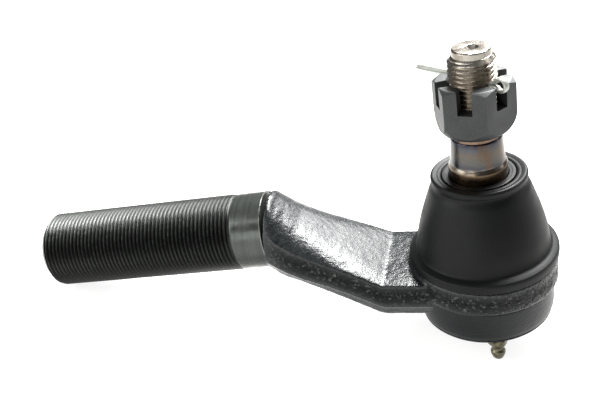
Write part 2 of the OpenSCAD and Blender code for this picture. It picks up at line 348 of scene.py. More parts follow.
def paint_on_cup(name="satin black enamel on a turned forging"):
    """The housing's cup and its cover.

    Turned, crimped and dipped: smoother than the arm, with short marks running round it that the
    paint has half filled.
    """
    made, tree, surface, place = start_material(name, Metallic=0.0, Specular_IOR_Level=0.2)
    paint = settings().paint
    flat = add_node(tree, "ShaderNodeMapping", {"Vector": place, "Scale": (1, 1, 5)}).outputs[0]
    marks = add_node(tree, "ShaderNodeTexNoise", {
        "Vector": flat, "Scale": 1 / (3.5 * MM), "Detail": 3.0, "Roughness": 0.6}).outputs["Fac"]
    grain = add_node(tree, "ShaderNodeTexNoise", {
        "Vector": place, "Scale": 1 / (0.9 * MM), "Detail": 3.0, "Roughness": 0.6}).outputs["Fac"]
    cloud = add_node(tree, "ShaderNodeTexNoise", {
        "Vector": place, "Scale": 1 / (9 * MM), "Detail": 3.0, "Roughness": 0.5}).outputs["Fac"]
    tone = add_node(tree, "ShaderNodeMix", {
        0: cloud, 6: shade(paint, 0.5), 7: shade(paint, 1.2)}, data_type="RGBA").outputs[2]
    gloss = add_node(tree, "ShaderNodeMapRange", {
        "Value": cloud, **NOISE_SPAN, "To Min": 0.3, "To Max": 0.42}).outputs[0]
    scored = add_node(tree, "ShaderNodeBump", {
        "Height": marks, "Strength": 1.0, "Distance": 0.18 * MM}).outputs[0]
    grainy = add_node(tree, "ShaderNodeBump", {
        "Height": grain, "Strength": 1.0, "Distance": 0.09 * MM, "Normal": scored}).outputs[0]
    return fill_surface(made, surface, {"Base Color": tone, "Roughness": gloss, "Normal": grainy})


def brushed_collar(name="blackened turned collar"):
    """The plain collar beside the thread.

    Turned, then blackened: fine rings about the shank draw the light out along its length.
    """
    made, tree, surface, place = start_material(name, Metallic=0.6)
    steel = settings().blackened
    along = add_node(tree, "ShaderNodeMapping", {"Vector": place, "Scale": (1, 0.02, 0.02)}).outputs[0]
    rings = add_node(tree, "ShaderNodeTexNoise", {
        "Vector": along, "Scale": 1 / (0.6 * MM), "Detail": 2.0, "Roughness": 0.6}).outputs["Fac"]
    cloud = add_node(tree, "ShaderNodeTexNoise", {
        "Vector": place, "Scale": 1 / (5 * MM), "Detail": 3.0, "Roughness": 0.5}).outputs["Fac"]
    tone = add_node(tree, "ShaderNodeMix", {
        0: rings, 6: shade(steel, 1.0), 7: shade(steel, 4.2)}, data_type="RGBA").outputs[2]
    gloss = add_node(tree, "ShaderNodeMapRange", {
        "Value": cloud, **NOISE_SPAN, "To Min": 0.2, "To Max": 0.32}).outputs[0]
    raised = add_node(tree, "ShaderNodeBump", {
        "Height": rings, "Strength": 1.0, "Distance": 0.03 * MM}).outputs[0]
    return fill_surface(made, surface, {"Base Color": tone, "Roughness": gloss, "Normal": raised})


def thread_painted_shade_and_highlight(name="blackened rolled thread"):
    """The shank's thread.

    Rolled, blackened and oiled. The roots are painted near black as painted shade, and the
    crests are painted bright in patches as a painted highlight.
    """
    made, tree, surface, place = start_material(name, Metallic=0.65)
    steel = settings().blackened
    crest = add_node(tree, "ShaderNodeAttribute", attribute_name="crest").outputs["Fac"]
    grain = add_node(tree, "ShaderNodeTexNoise", {
        "Vector": place, "Scale": 1 / (2.2 * MM), "Detail": 4.0, "Roughness": 0.6}).outputs["Fac"]
    fine = add_node(tree, "ShaderNodeTexNoise", {
        "Vector": place, "Scale": 1 / (0.6 * MM), "Detail": 3.0, "Roughness": 0.5}).outputs["Fac"]
    # painted highlight: bright patches painted on the thread's crests
    crest_highlight_patches = add_node(tree, "ShaderNodeMath", {0: crest, 1: grain}, operation="MULTIPLY").outputs[0]
    # painted shade: the roots painted darker, the flanks lighter towards the crests
    root_shade_falloff = add_node(tree, "ShaderNodeMapRange", {
        "Value": crest, "From Min": 0.0, "From Max": 0.8}).outputs[0]
    bright = add_node(tree, "ShaderNodeMapRange", {
        "Value": crest_highlight_patches, "From Min": 0.38, "From Max": 0.8}).outputs[0]
    black = add_node(tree, "ShaderNodeMix", {
        0: root_shade_falloff, 6: shade(steel, 0.3), 7: shade(steel, 0.9)}, data_type="RGBA").outputs[2]
    tone = add_node(tree, "ShaderNodeMix", {
        0: bright, 6: black, 7: shade(steel, 2.6)}, data_type="RGBA").outputs[2]
    gloss = add_node(tree, "ShaderNodeMapRange", {
        "Value": grain, **NOISE_SPAN, "To Min": 0.26, "To Max": 0.42}).outputs[0]
    raised = add_node(tree, "ShaderNodeBump", {
        "Height": fine, "Strength": 1.0, "Distance": 0.03 * MM}).outputs[0]
    return fill_surface(made, surface, {"Base Color": tone, "Roughness": gloss, "Normal": raised})


# tempering colours up the stud: height in millimetres where each takes over, how gently, colour
STUD_TINTS = (
    (-4, 1.5, "#57493a"), (-1.2, 0.8, "#69655d"), (0.3, 0.6, "#3c3c42"), (2.0, 1.0, "#4c4c4a"),
    (5.0, 1.8, "#544f49"), (8.3, 1.6, "#45474c"), (10.6, 0.9, "#2c2d38"), (12.0, 0.5, "#6f5c50"),
    (13.6, 0.8, "#9a8272"), (16.0, 0.8, "#8c8478"), (40.0, 5.0, "#97928a"))


def heat_tinted_steel(name="turned steel with heat tint"):
    """The ball stud.

    Turned, then hardened by induction from the taper up: rings of straw, brown and blue where
    the heat ended, bright steel above, oil stains below.
    """
    made, tree, surface, place = start_material(name, Metallic=1.0)
    split = add_node(tree, "ShaderNodeSeparateXYZ", {"Vector": place})
    height = add_node(tree, "ShaderNodeMath", {
        0: split.outputs["Z"], 1: 1 / MM}, operation="MULTIPLY").outputs[0]
    cloud = add_node(tree, "ShaderNodeTexNoise", {
        "Vector": place, "Scale": 1 / (7 * MM), "Detail": 3.0, "Roughness": 0.55}).outputs["Fac"]
    waver = add_node(tree, "ShaderNodeMapRange", {
        "Value": cloud, **NOISE_SPAN, "To Min": -0.45, "To Max": 0.45}).outputs[0]
    level = add_node(tree, "ShaderNodeMath", {0: height, 1: waver}, operation="ADD").outputs[0]
    tone = hex_colour("#4a3c2c")
    for middle, reach, colour in STUD_TINTS:
        share = add_node(tree, "ShaderNodeMapRange", {
            "Value": level, "From Min": middle - reach, "From Max": middle + reach}).outputs[0]
        tone = add_node(tree, "ShaderNodeMix", {
            0: share, 6: tone, 7: hex_colour(colour)}, data_type="RGBA").outputs[2]
    # oil and a little rust have run down the taper
    tall = add_node(tree, "ShaderNodeMapping", {"Vector": place, "Scale": (1, 1, 0.2)}).outputs[0]
    runs = add_node(tree, "ShaderNodeTexNoise", {
        "Vector": tall, "Scale": 1 / (4 * MM), "Detail": 3.0, "Roughness": 0.6}).outputs["Fac"]
    oil = add_node(tree, "ShaderNodeMapRange", {
        "Value": runs, "From Min": 0.48, "From Max": 0.66, "To Max": 0.55}).outputs[0]
    stained = add_node(tree, "ShaderNodeMix", {
        0: oil, 6: tone, 7: hex_colour("#54402f")}, data_type="RGBA").outputs[2]
    gloss = add_node(tree, "ShaderNodeMapRange", {
        "Value": cloud, **NOISE_SPAN, "To Min": 0.2, "To Max": 0.32}).outputs[0]
    # the lathe tool's rings
    round_it = add_node(tree, "ShaderNodeMapping", {"Vector": place, "Scale": (0.004, 0.004, 1)}).outputs[0]
    rings = add_node(tree, "ShaderNodeTexNoise", {
        "Vector": round_it, "Scale": 1 / (0.45 * MM), "Detail": 2.0, "Roughness": 0.6}).outputs["Fac"]
    raised = add_node(tree, "ShaderNodeBump", {
        "Height": rings, "Strength": 1.0, "Distance": 0.03 * MM}).outputs[0]
    return fill_surface(made, surface, {"Base Color": stained, "Roughness": gloss, "Normal": raised})


def phosphated_nut(name="phosphated forged nut"):
    """The castle nut.

    Hot forged, slotted and phosphated: a fine grey crystal that scatters the light, with lighter
    specks where it has been handled.
    """
    made, tree, surface, place = start_material(name, Metallic=0.35)
    grey = settings().nut_grey
    grain = add_node(tree, "ShaderNodeTexNoise", {
        "Vector": place, "Scale": 1 / (0.7 * MM), "Detail": 4.0, "Roughness": 0.65}).outputs["Fac"]
    cloud = add_node(tree, "ShaderNodeTexNoise", {
        "Vector": place, "Scale": 1 / (8 * MM), "Detail": 2.0, "Roughness": 0.5}).outputs["Fac"]
    patchy = add_node(tree, "ShaderNodeMapRange", {"Value": cloud, **NOISE_SPAN}).outputs[0]
    tone = add_node(tree, "ShaderNodeMix", {
        0: patchy, 6: shade(grey, 0.75), 7: shade(grey, 1.3)}, data_type="RGBA").outputs[2]
    specks = add_node(tree, "ShaderNodeMapRange", {
        "Value": grain, "From Min": 0.52, "From Max": 0.75, "To Max": 0.6}).outputs[0]
    specked = add_node(tree, "ShaderNodeMix", {
        0: specks, 6: tone, 7: shade(grey, 3.0)}, data_type="RGBA").outputs[2]
    gloss = add_node(tree, "ShaderNodeMapRange", {
        "Value": grain, **NOISE_SPAN, "To Min": 0.4, "To Max": 0.56}).outputs[0]
    raised = add_node(tree, "ShaderNodeBump", {
        "Height": grain, "Strength": 1.0, "Distance": 0.05 * MM}).outputs[0]
    return fill_surface(made, surface, {"Base Color": specked, "Roughness": gloss, "Normal": raised})


def zinc_wire(name="bright zinc plated wire"):
    """The cotter pin.

    Soft half-round wire, barrel plated: bright under a faint milky cloud.
    """
    made, tree, surface, place = start_material(name, Metallic=0.75)
    zinc = settings().zinc
    cloud = add_node(tree, "ShaderNodeTexNoise", {
        "Vector": place, "Scale": 1 / (2.5 * MM), "Detail": 3.0, "Roughness": 0.5}).outputs["Fac"]
    tone = add_node(tree, "ShaderNodeMix", {
        0: cloud, 6: shade(zinc, 0.75), 7: shade(zinc, 1.15)}, data_type="RGBA").outputs[2]
    gloss = add_node(tree, "ShaderNodeMapRange", {
        "Value": cloud, **NOISE_SPAN, "To Min": 0.36, "To Max": 0.5}).outputs[0]
    raised = add_node(tree, "ShaderNodeBump", {
        "Height": cloud, "Strength": 1.0, "Distance": 0.02 * MM}).outputs[0]
    return fill_surface(made, surface, {"Base Color": tone, "Roughness": gloss, "Normal": raised})


def passivated_fitting(name="yellow passivated zinc on steel"):
    """The grease fitting.

    Plated and passivated: a dull olive straw that pools darker in the corners and under grease.
    """
    made, tree, surface, place = start_material(name, Metallic=0.9)
    straw = settings().fitting
    cloud = add_node(tree, "ShaderNodeTexNoise", {
        "Vector": place, "Scale": 1 / (1.6 * MM), "Detail": 3.0, "Roughness": 0.6}).outputs["Fac"]
    pooled = add_node(tree, "ShaderNodeMapRange", {
        "Value": cloud, "From Min": 0.35, "From Max": 0.65}).outputs[0]
    tone = add_node(tree, "ShaderNodeMix", {
        0: pooled, 6: shade(straw, 0.45), 7: shade(straw, 1.2)}, data_type="RGBA").outputs[2]
    gloss = add_node(tree, "ShaderNodeMapRange", {
        "Value": cloud, **NOISE_SPAN, "To Min": 0.24, "To Max": 0.42}).outputs[0]
    raised = add_node(tree, "ShaderNodeBump", {
        "Height": cloud, "Strength": 1.0, "Distance": 0.03 * MM}).outputs[0]
    return fill_surface(made, surface, {"Base Color": tone, "Roughness": gloss, "Normal": raised})


def moulded_rubber(name="moulded chloroprene rubber"):
    """The boot and the bush in its top.

    Compression moulded from a blasted tool: matt, a little dusty, with a very fine grain.
    """
    made, tree, surface, place = start_material(name, Metallic=0.0, Specular_IOR_Level=0.13)
    rubber = settings().rubber
    cloud = add_node(tree, "ShaderNodeTexNoise", {
        "Vector": place, "Scale": 1 / (14 * MM), "Detail": 3.0, "Roughness": 0.5}).outputs["Fac"]
    grain = add_node(tree, "ShaderNodeTexNoise", {
        "Vector": place, "Scale": 1 / (0.5 * MM), "Detail": 3.0, "Roughness": 0.6}).outputs["Fac"]
    tone = add_node(tree, "ShaderNodeMix", {
        0: cloud, 6: shade(rubber, 0.75), 7: shade(rubber, 1.25)}, data_type="RGBA").outputs[2]
    gloss = add_node(tree, "ShaderNodeMapRange", {
        "Value": cloud, **NOISE_SPAN, "To Min": 0.44, "To Max": 0.54}).outputs[0]
    raised = add_node(tree, "ShaderNodeBump", {
        "Height": grain, "Strength": 1.0, "Distance": 0.03 * MM}).outputs[0]
    return fill_surface(made, surface, {"Base Color": tone, "Roughness": gloss, "Normal": raised})


def edge_painted_highlight(name="collar edge with painted highlight"):
    """The step where the collar's turning stopped against the forging.

    Painted highlight: a thin bright line where the collar's bevel catches the light, with fine tool marks.
    """
    made, tree, surface, place = start_material(name, Metallic=1.0)
    cloud = add_node(tree, "ShaderNodeTexNoise", {
        "Vector": place, "Scale": 1 / (2.5 * MM), "Detail": 3.0, "Roughness": 0.6}).outputs["Fac"]
    # painted highlight: the ring's light colour stands in for the light on the collar's bevel
    tone = add_node(tree, "ShaderNodeMix", {
        0: cloud, 6: hex_colour("#2e302e"), 7: hex_colour("#8c8d89")}, data_type="RGBA").outputs[2]
    gloss = add_node(tree, "ShaderNodeMapRange", {
        "Value": cloud, **NOISE_SPAN, "To Min": 0.25, "To Max": 0.45}).outputs[0]
    return fill_surface(made, surface, {"Base Color": tone, "Roughness": gloss})


def acetal(name="moulded acetal"):
    """The bearing shells.

    Injection moulded natural acetal: waxy off-white with a soft gloss.
    """
    made, tree, surface, place = start_material(name, Metallic=0.0, Subsurface_Weight=0.1)
    cloud = add_node(tree, "ShaderNodeTexNoise", {
        "Vector": place, "Scale": 1 / (6 * MM), "Detail": 3.0, "Roughness": 0.5}).outputs["Fac"]
    tone = add_node(tree, "ShaderNodeMix", {
        0: cloud, 6: hex_colour("#ded9c6"), 7: hex_colour("#ebe7d8")}, data_type="RGBA").outputs[2]
    gloss = add_node(tree, "ShaderNodeMapRange", {
        "Value": cloud, **NOISE_SPAN, "To Min": 0.3, "To Max": 0.42}).outputs[0]
    return fill_surface(made, surface, {"Base Color": tone, "Roughness": gloss})


def pressed_steel(name="cold rolled spring steel"):
    """Springs, the spring seat and the ring in the boot's base.

    Pressed or wound from cold rolled stock: grey, with the mill's straight grain.
    """
    made, tree, surface, place = start_material(name, Metallic=1.0)
    along = add_node(tree, "ShaderNodeMapping", {"Vector": place, "Scale": (1, 0.05, 1)}).outputs[0]
    grain = add_node(tree, "ShaderNodeTexNoise", {
        "Vector": along, "Scale": 1 / (0.5 * MM), "Detail": 2.0, "Roughness": 0.6}).outputs["Fac"]
    tone = add_node(tree, "ShaderNodeMix", {
        0: grain, 6: hex_colour("#6a6d70"), 7: hex_colour("#8b8e90")}, data_type="RGBA").outputs[2]
    gloss = add_node(tree, "ShaderNodeMapRange", {
        "Value": grain, **NOISE_SPAN, "To Min": 0.28, "To Max": 0.42}).outputs[0]
    return fill_surface(made, surface, {"Base Color": tone, "Roughness": gloss})


def pale_floor(name="matt pale studio board"):
    """The board under the part.

    Translucent white board lit from below, so that it stays pale and takes almost no shadow.
    """
    made, tree, surface, place = start_material(
        name, Metallic=0.0, Specular_IOR_Level=0.1, Roughness=0.9,
        Emission_Color=hex_colour("#ffffff"), Emission_Strength=0.85)
    board = settings().board
    cloud = add_node(tree, "ShaderNodeTexNoise", {"Vector": place, "Scale": 1 / (60 * MM)}).outputs["Fac"]
    tone = add_node(tree, "ShaderNodeMix", {
        0: cloud, 6: shade(board, 0.97), 7: shade(board, 1.03)}, data_type="RGBA").outputs[2]
    return fill_surface(made, surface, {"Base Color": tone})


MATERIAL_MAKERS = {
    "forging": paint_on_forging, "cup": paint_on_cup, "collar": brushed_collar, "bare": edge_painted_highlight,
    "thread": thread_painted_shade_and_highlight, "stud": heat_tinted_steel, "nut": phosphated_nut, "wire": zinc_wire,
    "fitting": passivated_fitting, "rubber": moulded_rubber, "acetal": acetal, "strip": pressed_steel,
    "floor": pale_floor,
}
MATERIALS = {}


def material(key):
    """Makes each material once."""
    if key not in MATERIALS:
        MATERIALS[key] = MATERIAL_MAKERS[key]()
    return MATERIALS[key]


# ---------------------------------------------------------------- the screw thread tree


def thread_tree():
    """A screw thread about Z: a helical grid of rings pulled in at the roots, with closed ends."""
    name = "screw thread"
    if name in bpy.data.node_groups:
        return bpy.data.node_groups[name]
    tree = bpy.data.node_groups.new(name, "GeometryNodeTree")
    face = tree.interface
    for label, kind, default in (
            ("Major Radius", "NodeSocketFloat", 0.01), ("Pitch", "NodeSocketFloat", 0.002),
            ("Depth", "NodeSocketFloat", 0.0012), ("Length", "NodeSocketFloat", 0.03),
            ("Start Bevel", "NodeSocketFloat", 0.001), ("End Bevel", "NodeSocketFloat", 0.001),
            ("Segments", "NodeSocketInt", 96), ("Rings Per Turn", "NodeSocketInt", 10),
            ("Material", "NodeSocketMaterial", None)):
        socket = face.new_socket(label, in_out="INPUT", socket_type=kind)
        if default is not None:
            socket.default_value = default
    face.new_socket("Geometry", in_out="OUTPUT", socket_type="NodeSocketGeometry")
    given = add_node(tree, "NodeGroupInput").outputs

    grid_rows = (
        ("turns that fit", "DIVIDE", "Length", "Pitch"), ("whole turns", "CEIL", "turns that fit"),
        ("turns", "ADD", "whole turns", 1.0), ("steps", "MULTIPLY", "turns", "Rings Per Turn"),
        ("rows", "ADD", "steps", 1.0), ("columns", "ADD", "Segments", 1.0))
    # crest distance is 0 on the crest and 1 in the root; sink has a small flat on each
    helix = (
        ("turn", "ADD", "X", 0.5), ("angle", "MULTIPLY", "turn", TAU),
        ("up", "ADD", "Y", 0.5), ("row", "MULTIPLY", "up", "turns"),
        ("climb", "ADD", "row", "turn"), ("pitches", "SUBTRACT", "climb", 1.0),
        ("raw height", "MULTIPLY", "pitches", "Pitch"), ("above start", "MAXIMUM", "raw height", 0.0),
        ("height", "MINIMUM", "above start", "Length"),
        ("nudged row", "ADD", "row", 0.0001), ("phase", "FRACT", "nudged row"),
        ("double phase", "MULTIPLY", "phase", 2.0), ("centred", "SUBTRACT", "double phase", 1.0),
        ("to root", "ABSOLUTE", "centred"), ("crest distance", "SUBTRACT", 1.0, "to root"),
        ("past flat", "SUBTRACT", "crest distance", 0.1), ("stretched", "DIVIDE", "past flat", 0.76),
        ("not above crest", "MAXIMUM", "stretched", 0.0), ("sink", "MINIMUM", "not above crest", 1.0),
        ("crest", "SUBTRACT", 1.0, "sink"), ("cut", "MULTIPLY", "sink", "Depth"),
        ("thread radius", "SUBTRACT", "Major Radius", "cut"),
        ("start rim", "SUBTRACT", "Major Radius", "Start Bevel"),
        ("start radius", "ADD", "start rim", "height"),
        ("end rim", "SUBTRACT", "Major Radius", "End Bevel"), ("left to go", "SUBTRACT", "Length", "height"),
        ("end radius", "ADD", "end rim", "left to go"),
        ("bevelled", "MINIMUM", "start radius", "end radius"),
        ("radius", "MINIMUM", "thread radius", "bevelled"),
        ("cosine", "COSINE", "angle"), ("sine", "SINE", "angle"),
        ("x", "MULTIPLY", "radius", "cosine"), ("y", "MULTIPLY", "radius", "sine"))
    values = {socket.name: socket for socket in given}
    position = add_node(tree, "GeometryNodeInputPosition").outputs["Position"]
    place = add_node(tree, "ShaderNodeSeparateXYZ", {"Vector": position})
    values.update({"X": place.outputs["X"], "Y": place.outputs["Y"]})
    for label, operation, *terms in grid_rows + helix:
        inputs = {i: values.get(term, term) for i, term in enumerate(terms)}
        values[label] = add_node(tree, "ShaderNodeMath", inputs, operation=operation, label=label).outputs[0]
    # a flat grid with one row of points for each ring, bent into the helix
    grid = add_node(tree, "GeometryNodeMeshGrid", {
        "Size X": 1.0, "Size Y": 1.0, "Vertices X": values["columns"], "Vertices Y": values["rows"]})
    spot = add_node(tree, "ShaderNodeCombineXYZ", {
        "X": values["x"], "Y": values["y"], "Z": values["height"]})
    stored = add_node(tree, "GeometryNodeStoreNamedAttribute", {
        "Geometry": grid.outputs["Mesh"], "Name": "crest", "Value": values["crest"]},
        data_type="FLOAT", domain="POINT")
    bent = add_node(tree, "GeometryNodeSetPosition", {
        "Geometry": stored.outputs["Geometry"], "Position": spot.outputs["Vector"]})
    ends = []
    for height, rim in ((0.0, "start rim"), (given["Length"], "end rim")):
        disc = add_node(tree, "GeometryNodeMeshCircle", {
            "Vertices": given["Segments"], "Radius": values[rim]}, fill_type="TRIANGLE_FAN")
        lift = add_node(tree, "ShaderNodeCombineXYZ", {"Z": height})
        ends.append(add_node(tree, "GeometryNodeTransform", {
            "Geometry": disc.outputs["Mesh"], "Translation": lift.outputs["Vector"]}).outputs["Geometry"])
    join = add_node(tree, "GeometryNodeJoinGeometry")
    for part in (bent.outputs["Geometry"], *ends):
        tree.links.new(part, join.inputs["Geometry"])
    merged = add_node(tree, "GeometryNodeMergeByDistance", {
        "Geometry": join.outputs["Geometry"], "Distance": 2e-6})
    real = add_node(tree, "GeometryNodeRealizeInstances", {"Geometry": merged.outputs["Geometry"]})
    painted = add_node(tree, "GeometryNodeSetMaterial", {
        "Geometry": real.outputs["Geometry"], "Material": given["Material"]})
    add_node(tree, "NodeGroupOutput", {"Geometry": painted.outputs["Geometry"]})
    return tree


def screw_thread(name, values, paint, place):
    """Runs the thread tree with these values and bakes the result in its place."""
    obj = plain(name, bpy.data.meshes.new(name))
    tree = thread_tree()
    mod = obj.modifiers.new("thread", "NODES")
    mod.node_group = tree
    sockets = {s.name: s.identifier for s in tree.interface.items_tree if s.in_out == "INPUT"}
    for label, value in values.items():
        mod[sockets[label]] = value
    mod[sockets["Material"]] = paint
    apply_modifiers(obj)
    obj.data.transform(place)
    bm = bmesh.new()
    bm.from_mesh(obj.data)
    bmesh.ops.dissolve_degenerate(bm, edges=bm.edges, dist=1e-7)
    bmesh.ops.recalc_face_normals(bm, faces=bm.faces)
    bm.to_mesh(obj.data)
    bm.free()
    obj.data.shade_smooth()
    obj.data.set_sharp_from_angle(angle=math.radians(50))
    return obj


# ---------------------------------------------------------------- the forging


def shank_height(x):
    """Height of the shank's axis, in millimetres, at this distance from the stud."""
    return SHANK_ORIGIN.z / MM + x * SHANK_DIR.z / abs(SHANK_DIR.x)


# the arm's sections, in millimetres: distance from the stud, top of the crown, upper edge,
# lower edge of the sheared band, underside, half width, how square the crown is, and the share
# of the shank's circle
ARM_SECTIONS = (
    (12, -49.6, -50.1, -61.0, -69.0, 22.5, 6.0, 0.0),
    (43.6, -49.3, -50.0, -61.2, -69.0, 22.5, 5.0, 0.0),
    (47, -47.3, -48.7, -60.1, -68.2, 22.2, 4.6, 0.0),
    (54, -43.1, -45.3, -56.8, -65.1, 21.7, 4.0, 0.0),
    (68, -34.9, -39.3, -50.8, -58.5, 20.8, 3.0, 0.0),
    (75, -30.2, -36.4, -48.5, -55.4, 20.3, 2.8, 0.0),
    (82, -25.6, -33.2, -46.0, -52.3, 19.9, 2.6, 0.0),
    (88, -21.0, -30.0, -44.0, -50.9, 19.3, 2.5, 0.08),
    (92, -18.0, -26.8, -42.5, -50.3, 18.8, 2.3, 0.3),
    (96.7, -14.2, -23.5, -41.5, -50.1, 18.0, 2.2, 1.0))


def arm_place(x):
    """The arm's section at this distance from the stud, between its neighbours."""
    x = min(max(x, ARM_SECTIONS[0][0]), ARM_SECTIONS[-1][0])
    for low, high in zip(ARM_SECTIONS, ARM_SECTIONS[1:]):
        if x <= high[0]:
            t = (x - low[0]) / (high[0] - low[0])
            return [a + (b - a) * t for a, b in zip(low, high)]
    return list(ARM_SECTIONS[-1])


def arm_outline(x, top, edge, band, low, half, square, share):
    """Points (across, height) in millimetres of one section, clockwise from the top's middle.

    Crowned top, sheared side between two small lips, keel that draws in below; share blends
    it into the shank's circle.
    """
    crown = [(half * t, edge + (top - edge) * (1 - t ** square)) for t in (k / 16 for k in range(16))]
    side = crown + [(half - 0.25, edge + 0.1), (half + 0.25, edge - 0.5), (half + 0.35, edge - 1.3),
                    (half + 0.05, edge - 1.9), (half, (edge + band) / 2), (half + 0.05, band + 0.9),
                    (half + 0.4, band + 0.4), (half + 0.3, band - 0.3), (half - 1.0, band - 1.6),
                    (half - 3.6, low + 1.0), (half - 5.4, low), (half * 0.4, low), (0, low)]
    ring = side + [(-u, v) for u, v in reversed(side[1:-1])]
    radius, centre = SHANK_R / MM, shank_height(x)
    out = []
    for i, (u, v) in enumerate(ring):
        # each stretch is cut fine so that it can bend into the circle
        u2, v2 = ring[(i + 1) % len(ring)]
        for k in range(4):
            pu, pv = u + (u2 - u) * k / 4, v + (v2 - v) * k / 4 - centre
            reach = math.hypot(pu, pv)
            out.append((pu * (1 - share) + pu / reach * radius * share,
                        centre + pv * (1 - share) + pv / reach * radius * share))
    return out


def arm_mesh():
    """The offset arm as one loft from inside the housing to the shank's collar."""
    first, last, count = ARM_SECTIONS[0][0], ARM_SECTIONS[-1][0], 110
    verts = []
    for i in range(count + 1):
        x = first + (last - first) * i / count
        place = arm_place(x)
        lean = SHANK_DIR.z / SHANK_DIR.x * place[-1]
        ring = arm_outline(*place)
        for u, v in ring:
            verts.append(Vector((-x + (v - shank_height(x)) * lean, -u, v)) * MM)
    return mesh_from("arm", verts, loft_faces(count + 1, len(ring)))


# closer to the stud than this, in millimetres, the torn band runs round the housing
BAND_ENDS_AT = 24


def sheared(point):
    """How far a point lies in the rough band where the flash was sheared off, 0 to 1."""
    x, y, z = -point.x / MM, abs(point.y) / MM, point.z / MM
    if x < BAND_ENDS_AT:
        inside = math.hypot(x, y) > BAND_R / MM - 1.5
        low, high, share = BAND_LOW / MM, HOUSE_TOP / MM, 0.0
    else:
        _, _, high, low, _, half, _, share = arm_place(x)
        inside = y > half - 1.2
    if not inside or share > 0.8:
        return 0.0
    middle, reach = (low + high) / 2, (high - low) / 2 - 0.9
    return (1 - share) * max(0.0, 1 - abs(z - middle) / reach) ** 0.3


def forged_part():
    """Arm and housing band, fused and smoothed so that they flow into each other like one forging."""
    arm = plain("forged_arm_and_band", arm_mesh())
    top, low, r = HOUSE_TOP / MM, BAND_LOW / MM, BAND_R / MM
    band = plain("band", revolve("band", [(0, top), (r, top, 0.8), (r, low, 1.0), (0, low)], 192))
    bpy.context.view_layer.update()
    boolean(arm, band, "UNION")
    voxel = arm.modifiers.new("skin", "REMESH")
    voxel.mode = "VOXEL"
    voxel.voxel_size = settings().forging_grain
    apply_modifiers(arm)
    bm = bmesh.new()
    bm.from_mesh(arm.data)
    for _ in range(2):
        bmesh.ops.smooth_vert(
            bm, verts=bm.verts, factor=0.5, use_axis_x=True, use_axis_y=True, use_axis_z=True)
    bm.normal_update()
    # scale pits and hammer marks: shallow hollows, coarser and deeper where the flash was sheared off
    depth = settings().hammer_depth
    for v in bm.verts:
        radial = math.hypot(v.co.x, v.co.y)
        if v.co.z > HOUSE_TOP - 0.4 * MM and radial < BAND_R:
            continue
        p = v.co / (2.4 * MM)
        fine = noise.noise(p) + 0.5 * noise.noise(p * 2.1)
        broad = noise.noise(v.co / (9 * MM))
        torn = sheared(v.co)
        shear = abs(noise.noise(Vector((v.co.x, v.co.y, v.co.z * 0.6)) / (1.9 * MM))) * torn
        v.co += v.normal * depth * (0.55 * fine + 0.7 * broad - 0.7 - 3.2 * shear)
    bm.to_mesh(arm.data)
    bm.free()
    # the bearing bore
    bore = plain("bore", revolve("bore", [(0, 0), (27.0, 0, 0), (27.0, -90, 0), (0, -90)], 128))
    boolean(arm, bore, "DIFFERENCE")
    torn = arm.data.attributes.new("torn", "FLOAT", "POINT")
    for vertex, mark in zip(arm.data.vertices, torn.data):
        mark.value = sheared(vertex.co)
    return arm


class TIEROD_OT_forging(bpy.types.Operator):
    """Build the forging: arm, housing band, turned cup, collar and threaded shank"""
    bl_idname = "tie_rod_end.forging"
    bl_label = "Forging"

    def execute(self, context):
        s = settings()
        arm = forged_part()
        finish_mesh(arm.data, material("forging"), 60)
        cup_r, low, top = CUP_R / MM, HOUSE_LOW / MM, NECK_TOP / MM
        band_low, house_top = BAND_LOW / MM, HOUSE_TOP / MM
        cup = new_object("turned_housing", revolve("turned_housing", [
            (15.7, top), (26.7, top, 0.5), (26.7, house_top + 0.05, 0.3), (30.0, house_top + 0.02, 0.1),
            (30.0, band_low - 0.6, 0), (cup_r - 0.6, band_low - 0.6, 0.3), (cup_r, band_low - 1.4, 0.4),
            (cup_r, low + 8, 2), (cup_r - 0.3, low + 4.5, 1.5), (cup_r - 0.85, low + 2.9, 0.2),
            (cup_r - 1.25, low + 2.6, 0.1), (cup_r - 1.2, low + 2.3, 0.1), (cup_r - 0.95, low + 1.9, 0.2),
            (cup_r - 2.8, low, 0.5), (26.4, low, 0.2), (26.8, low + 0.9, 0.1), (27.9, low + 2.1, 0),
            (27.9, -72.1, 0), (26.9, -72.0, 0), (26.9, -69.2, 0), (22.5, -69.2, 0), (22.5, -43.5, 0),
            (15.7, -43.5, 0.3)], 192, closed=True), material("cup"))
        collar = new_object("shank_collar", revolve("shank_collar", [
            (0, 97), (17.75, 97, 0), (17.8, 98.5, 0.2), (17.8, THREAD_START / MM - 1, 0.3),
            (17.2, THREAD_START / MM, 0.1), (0, THREAD_START / MM)], 128), material("collar"))
        collar.data.transform(SHANK_FRAME)
        # painted highlight: a thin ring of light steel where the collar's bevel catches the light
        edge = new_object("collar_edge", revolve("collar_edge", [
            (17.2, 96.5), (17.9, 96.6, 0.1), (17.95, 97.0, 0.1), (17.75, 97.15, 0.05), (17.2, 97.2)],
            128, closed=True), material("bare"))
        edge.data.transform(SHANK_FRAME)
        thread = screw_thread("shank_thread", {
            "Major Radius": SHANK_R, "Pitch": s.shank_pitch, "Depth": THREAD_DEPTH * s.shank_pitch,
            "Length": SHANK_END - THREAD_START, "Start Bevel": 1.0 * MM, "End Bevel": SHANK_BEVEL,
            "Segments": 112, "Rings Per Turn": 8}, material("thread"),
            SHANK_FRAME @ Matrix.Translation((0, 0, THREAD_START)))
        for piece in (arm, cup, collar, edge, thread):
            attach(piece, "forging")
            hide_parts("forged_body")
        return {"FINISHED"}


